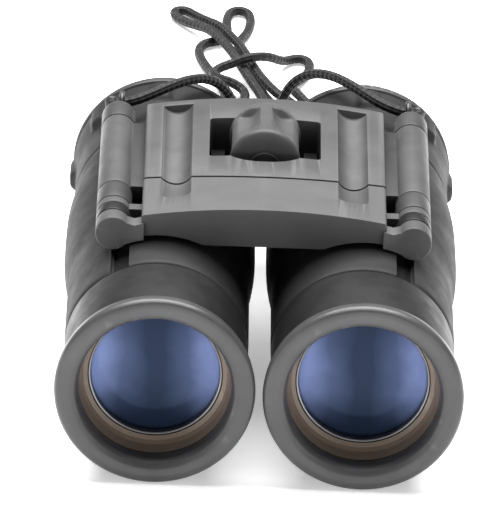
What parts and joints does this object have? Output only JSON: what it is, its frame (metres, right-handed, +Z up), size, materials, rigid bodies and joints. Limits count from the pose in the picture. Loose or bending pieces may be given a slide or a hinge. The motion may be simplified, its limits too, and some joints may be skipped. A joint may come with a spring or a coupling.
{
  "type": "compact binoculars",
  "caption": "Compact folding roof-prism binoculars with twin hinges, a central focus wheel in an arched bridge, rubber-armoured barrels and a thin braided neck cord.",
  "frame": {"origin": "middle of the folded object's footprint, on the table", "axes": "+Y from the objectives to the eyepieces along the barrels, +X to the right barrel, +Z up through the bridge"},
  "size_m": [0.0756, 0.2328, 0.0472],
  "materials": {
    "housing_plastic": "fine satin moulding",
    "bridge_plastic": "fine matt moulding",
    "inner_plastic": "matt black",
    "armour_rubber": "matt, finely grained",
    "eyecup_rubber": "matt",
    "coated_glass": "blue-violet anti-reflection coating",
    "prism_glass": "polished faces",
    "ring_metal": "black anodised",
    "steel": "brushed",
    "brass": "turned",
    "cord_braid": "braided nylon",
    "tie_webbing": "woven hook-and-loop"
  },
  "bodies": {
    "bridge": {"bridge_body": "bridge_plastic", "bridge_cover": "bridge_plastic", "cover_screws": "steel", "spindle_bush_front": "brass", "spindle_bush_rear": "brass", "hinge_pin_left": "steel", "hinge_pin_right": "steel", "strap_lug_left": "steel", "strap_lug_right": "steel", "strap_cord_left": "cord_braid", "strap_coil": "cord_braid", "strap_cord_right": "cord_braid", "strap_tie": "tie_webbing"},
    "knob": {"focus_knob": "bridge_plastic", "focus_spindle": "steel", "spindle_clip": "steel"},
    "carrier": {"focus_carrier": "bridge_plastic", "focus_nut": "brass", "carrier_cover": "bridge_plastic", "carrier_screws": "steel"},
    "barrel_left": {"barrel_housing_left": "housing_plastic", "rubber_armour_left": "armour_rubber", "rear_grip_left": "armour_rubber", "prism_cage_left": "inner_plastic", "roof_prism_left": "prism_glass", "half_prism_left": "prism_glass", "eyepiece_cell_left": "housing_plastic", "field_lens_left": "coated_glass", "eye_lens_left": "coated_glass", "eyepiece_rim_left": "housing_plastic", "eyecup_left": "eyecup_rubber"},
    "barrel_right": {"barrel_housing_right": "housing_plastic", "rubber_armour_right": "armour_rubber", "rear_grip_right": "armour_rubber", "prism_cage_right": "inner_plastic", "roof_prism_right": "prism_glass", "half_prism_right": "prism_glass"},
    "objective_left": {"objective_bezel_left": "housing_plastic", "objective_tube_left": "housing_plastic", "objective_crown_lens_left": "coated_glass", "objective_flint_lens_left": "coated_glass", "lens_retaining_ring_left": "ring_metal"},
    "objective_right": {"objective_bezel_right": "housing_plastic", "objective_tube_right": "housing_plastic", "objective_crown_lens_right": "coated_glass", "objective_flint_lens_right": "coated_glass", "lens_retaining_ring_right": "ring_metal"},
    "diopter": {"diopter_ring": "housing_plastic"},
    "eyepiece_right": {"eyepiece_cell_right": "housing_plastic", "field_lens_right": "coated_glass", "eye_lens_right": "coated_glass", "eyecup_right": "eyecup_rubber"}
  },
  "joints": [
    {"name": "focus_turn", "type": "hinge", "parent": "bridge", "child": "knob", "pos_m": [0, 0.009, 0.0404], "axis": [0, 1, 0], "range_deg": [0, 340]},
    {"name": "focus_slide", "type": "slide", "parent": "bridge", "child": "carrier", "axis": [0, -1, 0], "range_m": [0, 0.0028]},
    {"name": "barrel_left_fold", "type": "hinge", "parent": "bridge", "child": "barrel_left", "pos_m": [-0.02815, 0, 0.03715], "axis": [0, 1, 0], "range_deg": [0, 48]},
    {"name": "barrel_right_fold", "type": "hinge", "parent": "bridge", "child": "barrel_right", "pos_m": [0.02815, 0, 0.03715], "axis": [0, -1, 0], "range_deg": [0, 48]},
    {"name": "objective_left_slide", "type": "slide", "parent": "barrel_left", "child": "objective_left", "axis": [0, -1, 0], "range_m": [0, 0.0028]},
    {"name": "objective_right_slide", "type": "slide", "parent": "barrel_right", "child": "objective_right", "axis": [0, -1, 0], "range_m": [0, 0.0028]},
    {"name": "diopter_turn", "type": "hinge", "parent": "barrel_right", "child": "diopter", "pos_m": [0.01925, 0.052, 0.0186], "axis": [0, 1, 0], "range_deg": [-60, 60]},
    {"name": "eyepiece_right_slide", "type": "slide", "parent": "barrel_right", "child": "eyepiece_right", "axis": [0, 1, 0], "range_m": [-0.0005, 0.0005]}
  ],
  "couplings": [
    {"joint": "focus_turn", "follows": "focus_slide", "rad_per_m": 2119},
    {"joint": "objective_left_slide", "follows": "focus_slide", "ratio": 1},
    {"joint": "objective_right_slide", "follows": "focus_slide", "ratio": 1},
    {"joint": "diopter_turn", "follows": "eyepiece_right_slide", "rad_per_m": 2094}
  ]
}
